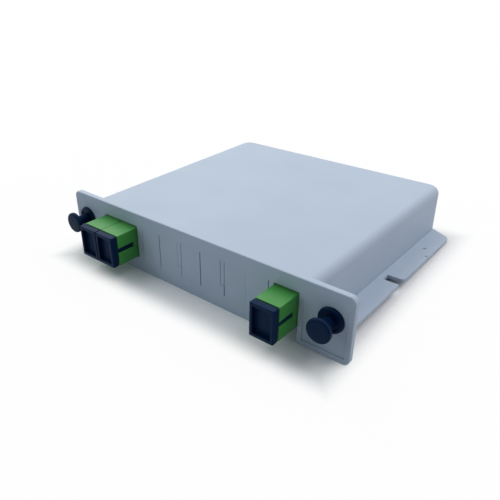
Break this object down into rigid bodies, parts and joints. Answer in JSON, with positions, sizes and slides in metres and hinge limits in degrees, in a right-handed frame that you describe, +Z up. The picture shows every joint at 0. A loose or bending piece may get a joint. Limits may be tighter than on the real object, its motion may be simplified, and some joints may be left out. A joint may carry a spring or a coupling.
{
  "type": "fibre optic splitter cassette",
  "caption": "Plug-in fibre optic splitter cassette: a thin grey moulded box behind a wide front panel, with capped green adapters, blanking plates and push-pull latches.",
  "frame": {"origin": "middle of the bounding box in plan, at the level of the panel's bottom edge", "axes": "+X to the right along the panel as seen from the front, +Y from the panel to the rear, +Z up"},
  "size_m": [0.13, 0.1126, 0.0246],
  "materials": {
    "grey_plastic": "fine moulded grain",
    "green_plastic": "satin",
    "black_cap": "satin",
    "black_nylon": "satin",
    "white_plastic": "satin",
    "zirconia": "polished",
    "boot_rubber": "matte",
    "chip_steel": "brushed",
    "screw_steel": "plated",
    "fibre_jacket": "smooth"
  },
  "bodies": {
    "housing": {"housing_cover": "grey_plastic", "base_plate": "grey_plastic", "base_screws": "screw_steel", "blank_plate_1": "grey_plastic", "blank_plate_2": "grey_plastic", "blank_plate_3": "grey_plastic", "blank_plate_4": "grey_plastic", "blank_plate_5": "grey_plastic", "blank_plate_6": "grey_plastic", "latch_grommet_left": "black_nylon", "latch_grommet_right": "black_nylon", "adapter_shell_1": "green_plastic", "sleeve_holder_front_1": "white_plastic", "sleeve_holder_rear_1": "white_plastic", "split_sleeve_1": "zirconia", "connector_grip_1": "green_plastic", "connector_body_1": "white_plastic", "connector_ferrule_1": "zirconia", "connector_boot_1": "boot_rubber", "adapter_shell_2": "green_plastic", "sleeve_holder_front_2": "white_plastic", "sleeve_holder_rear_2": "white_plastic", "split_sleeve_2": "zirconia", "connector_grip_2": "green_plastic", "connector_body_2": "white_plastic", "connector_ferrule_2": "zirconia", "connector_boot_2": "boot_rubber", "adapter_shell_3": "green_plastic", "sleeve_holder_front_3": "white_plastic", "sleeve_holder_rear_3": "white_plastic", "split_sleeve_3": "zirconia", "connector_grip_3": "green_plastic", "connector_body_3": "white_plastic", "connector_ferrule_3": "zirconia", "connector_boot_3": "boot_rubber", "chip_case": "chip_steel", "chip_boot_out": "boot_rubber", "chip_boot_in": "boot_rubber", "fibre_out_1": "fibre_jacket", "fibre_out_2": "fibre_jacket", "fibre_in": "fibre_jacket"},
    "plunger_left": {"latch_plunger_left": "black_nylon"},
    "plunger_right": {"latch_plunger_right": "black_nylon"},
    "cap_out_1": {"dust_cap_1": "black_cap"},
    "cap_out_2": {"dust_cap_2": "black_cap"},
    "cap_in": {"dust_cap_3": "black_cap"}
  },
  "joints": [
    {"name": "latch_push_left", "type": "slide", "parent": "housing", "child": "plunger_left", "axis": [0, 1, 0], "range_m": [0, 0.0051]},
    {"name": "latch_push_right", "type": "slide", "parent": "housing", "child": "plunger_right", "axis": [0, 1, 0], "range_m": [0, 0.0051]},
    {"name": "cap_out_1_pull", "type": "slide", "parent": "housing", "child": "cap_out_1", "axis": [0, -1, 0], "range_m": [0, 0.015]},
    {"name": "cap_out_2_pull", "type": "slide", "parent": "housing", "child": "cap_out_2", "axis": [0, -1, 0], "range_m": [0, 0.015]},
    {"name": "cap_in_pull", "type": "slide", "parent": "housing", "child": "cap_in", "axis": [0, -1, 0], "range_m": [0, 0.015]}
  ]
}
